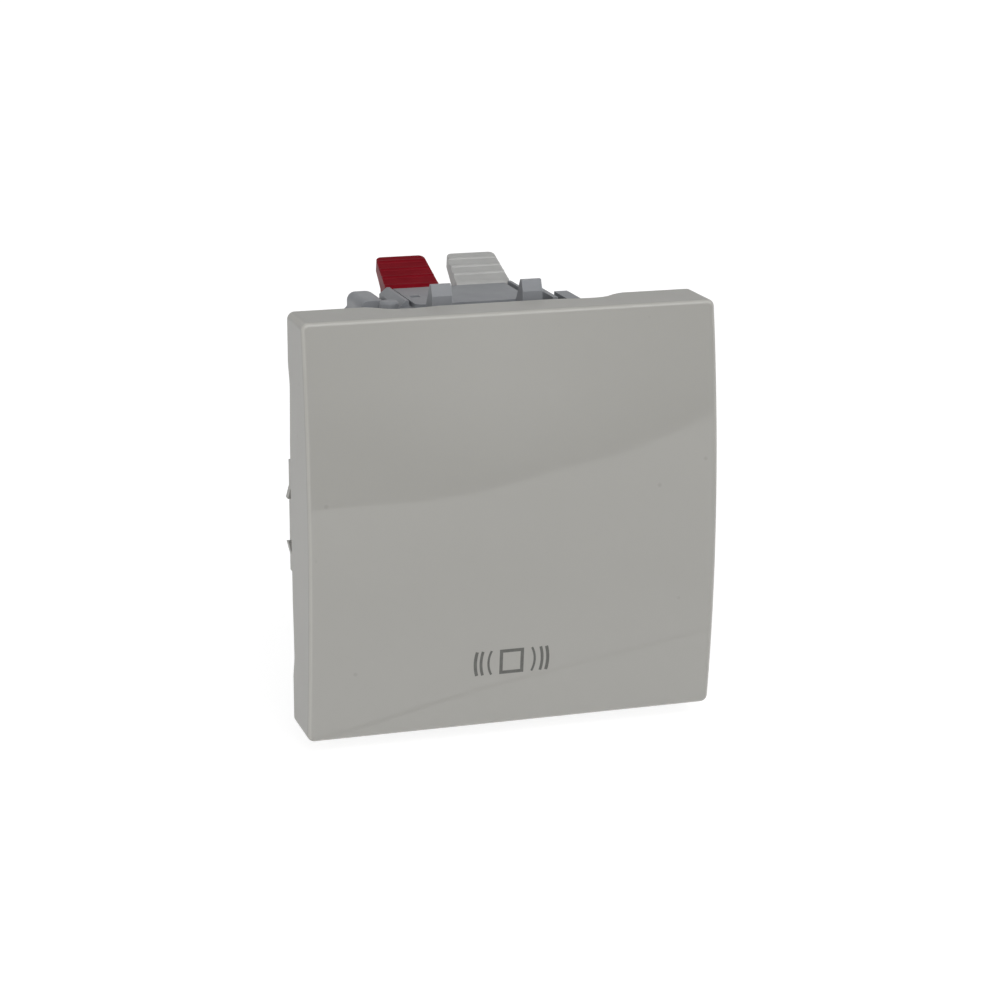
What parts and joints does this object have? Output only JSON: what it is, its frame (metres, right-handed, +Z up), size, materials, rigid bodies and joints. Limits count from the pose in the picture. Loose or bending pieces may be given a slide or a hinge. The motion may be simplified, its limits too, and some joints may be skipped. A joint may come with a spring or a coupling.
{
  "type": "push-button switch module",
  "caption": "Square push-button switch module with a bowed rocking key, grey snap-in mechanism and two lever-release wire terminals at the top rear",
  "frame": {"origin": "centre of the plane in which the side nubs stop against the front of the mounting frame", "axes": "+X right as seen from the front, +Y back into the wall, +Z up; the key faces -Y"},
  "size_m": [0.0452, 0.0348, 0.0478],
  "materials": {
    "ivory": "smooth gloss",
    "white_polymer": "moulded satin",
    "grey_polymer": "moulded satin, bluish grey",
    "red_polymer": "moulded satin",
    "white_lever_polymer": "moulded satin",
    "steel": "drawn",
    "spring_steel": "drawn wire and strip",
    "brass_bar": "stamped",
    "silver": "turned contact silver"
  },
  "bodies": {
    "module": {"housing": "grey_polymer", "front_deck": "white_polymer", "support_frame": "ivory", "rear_cover": "grey_polymer", "terminal_cover": "grey_polymer", "lower_latch": "grey_polymer", "lever_pin": "steel", "rocker_axle": "steel", "phase_bar": "brass_bar", "output_bar": "brass_bar", "fixed_contacts": "silver", "phase_clamp_spring": "spring_steel", "output_clamp_spring": "spring_steel", "return_spring": "spring_steel"},
    "key": {"key": "ivory", "rocker": "white_polymer"},
    "plunger": {"plunger": "white_polymer", "contact_bridge": "brass_bar", "moving_contacts": "silver", "contact_spring": "spring_steel"},
    "red_lever": {"red_lever": "red_polymer"},
    "white_lever": {"white_lever": "white_lever_polymer"}
  },
  "joints": [
    {"name": "key_tilt", "type": "hinge", "parent": "module", "child": "key", "pos_m": [0, -0.002, 0], "axis": [1, 0, 0], "range_deg": [0, 5], "stiffness_Nm_per_rad": 0.4, "springref_deg": -5.73},
    {"name": "plunger_slide", "type": "slide", "parent": "module", "child": "plunger", "axis": [0, 1, 0], "range_m": [0, 0.00105], "deforming": ["return_spring"]},
    {"name": "red_lever_tilt", "type": "hinge", "parent": "module", "child": "red_lever", "pos_m": [-0.00415, 0.0176, 0.0174], "axis": [1, 0, 0], "range_deg": [-24, 0], "stiffness_Nm_per_rad": 0.08, "springref_deg": 17.19, "deforming": ["phase_clamp_spring"]},
    {"name": "white_lever_tilt", "type": "hinge", "parent": "module", "child": "white_lever", "pos_m": [0.00415, 0.0176, 0.0174], "axis": [1, 0, 0], "range_deg": [-24, 0], "stiffness_Nm_per_rad": 0.08, "springref_deg": 17.19, "deforming": ["output_clamp_spring"]}
  ],
  "couplings": [
    {"joint": "plunger_slide", "follows": "key_tilt", "m_per_rad": 0.012}
  ]
}
